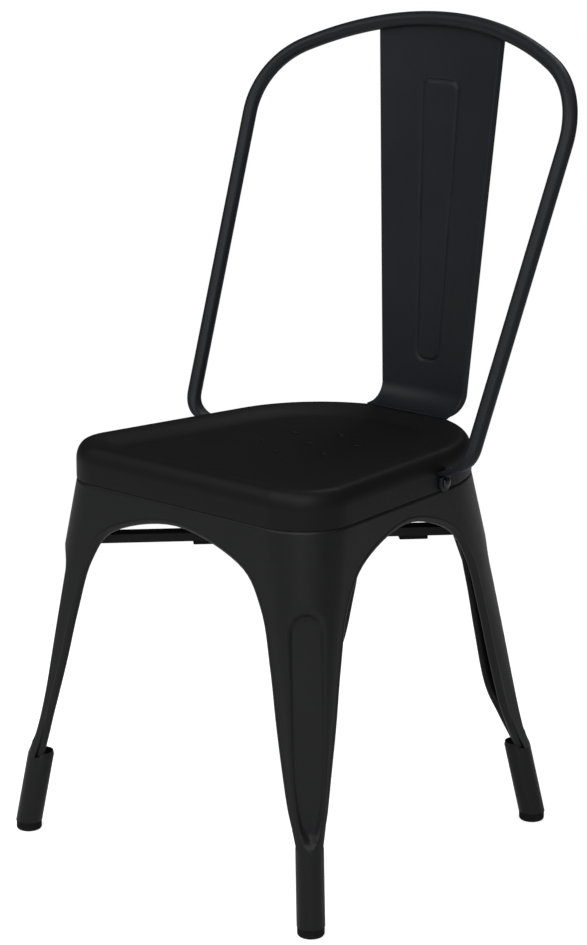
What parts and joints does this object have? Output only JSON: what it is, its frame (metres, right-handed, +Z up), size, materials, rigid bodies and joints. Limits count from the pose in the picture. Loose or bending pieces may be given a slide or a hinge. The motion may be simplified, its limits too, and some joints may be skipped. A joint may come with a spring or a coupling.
{
  "type": "stacking metal bistro chair",
  "caption": "Stacking armless bistro chair: pressed steel seat on flared sheet legs, bent tube back hoop with a pressed central splat.",
  "frame": {"origin": "on the floor under the middle of the chair's overall box", "axes": "+X to the right as seen from the front, +Y to the back, +Z up"},
  "size_m": [0.4506, 0.4472, 0.85],
  "materials": {
    "seat_coat": "satin black powder coat",
    "frame_coat": "satin black powder coat",
    "foot_rubber": "matt black rubber",
    "bumper_rubber": "matt black rubber",
    "fastener_black": "black oxide",
    "fastener_zinc": "bright zinc"
  },
  "bodies": {
    "root": {"seat_pan": "seat_coat", "front_left_leg": "frame_coat", "front_right_leg": "frame_coat", "rear_left_leg": "frame_coat", "rear_right_leg": "frame_coat", "front_left_foot_cap": "foot_rubber", "front_right_foot_cap": "foot_rubber", "rear_left_foot_cap": "foot_rubber", "rear_right_foot_cap": "foot_rubber", "lower_brace": "frame_coat", "upper_brace": "frame_coat", "front_left_bumper": "bumper_rubber", "front_right_bumper": "bumper_rubber", "rear_left_bumper": "bumper_rubber", "rear_right_bumper": "bumper_rubber", "back_hoop": "frame_coat", "back_splat": "seat_coat", "hoop_bolts": "fastener_black", "hoop_washers": "fastener_zinc", "hoop_nuts": "fastener_zinc"}
  },
  "joints": []
}
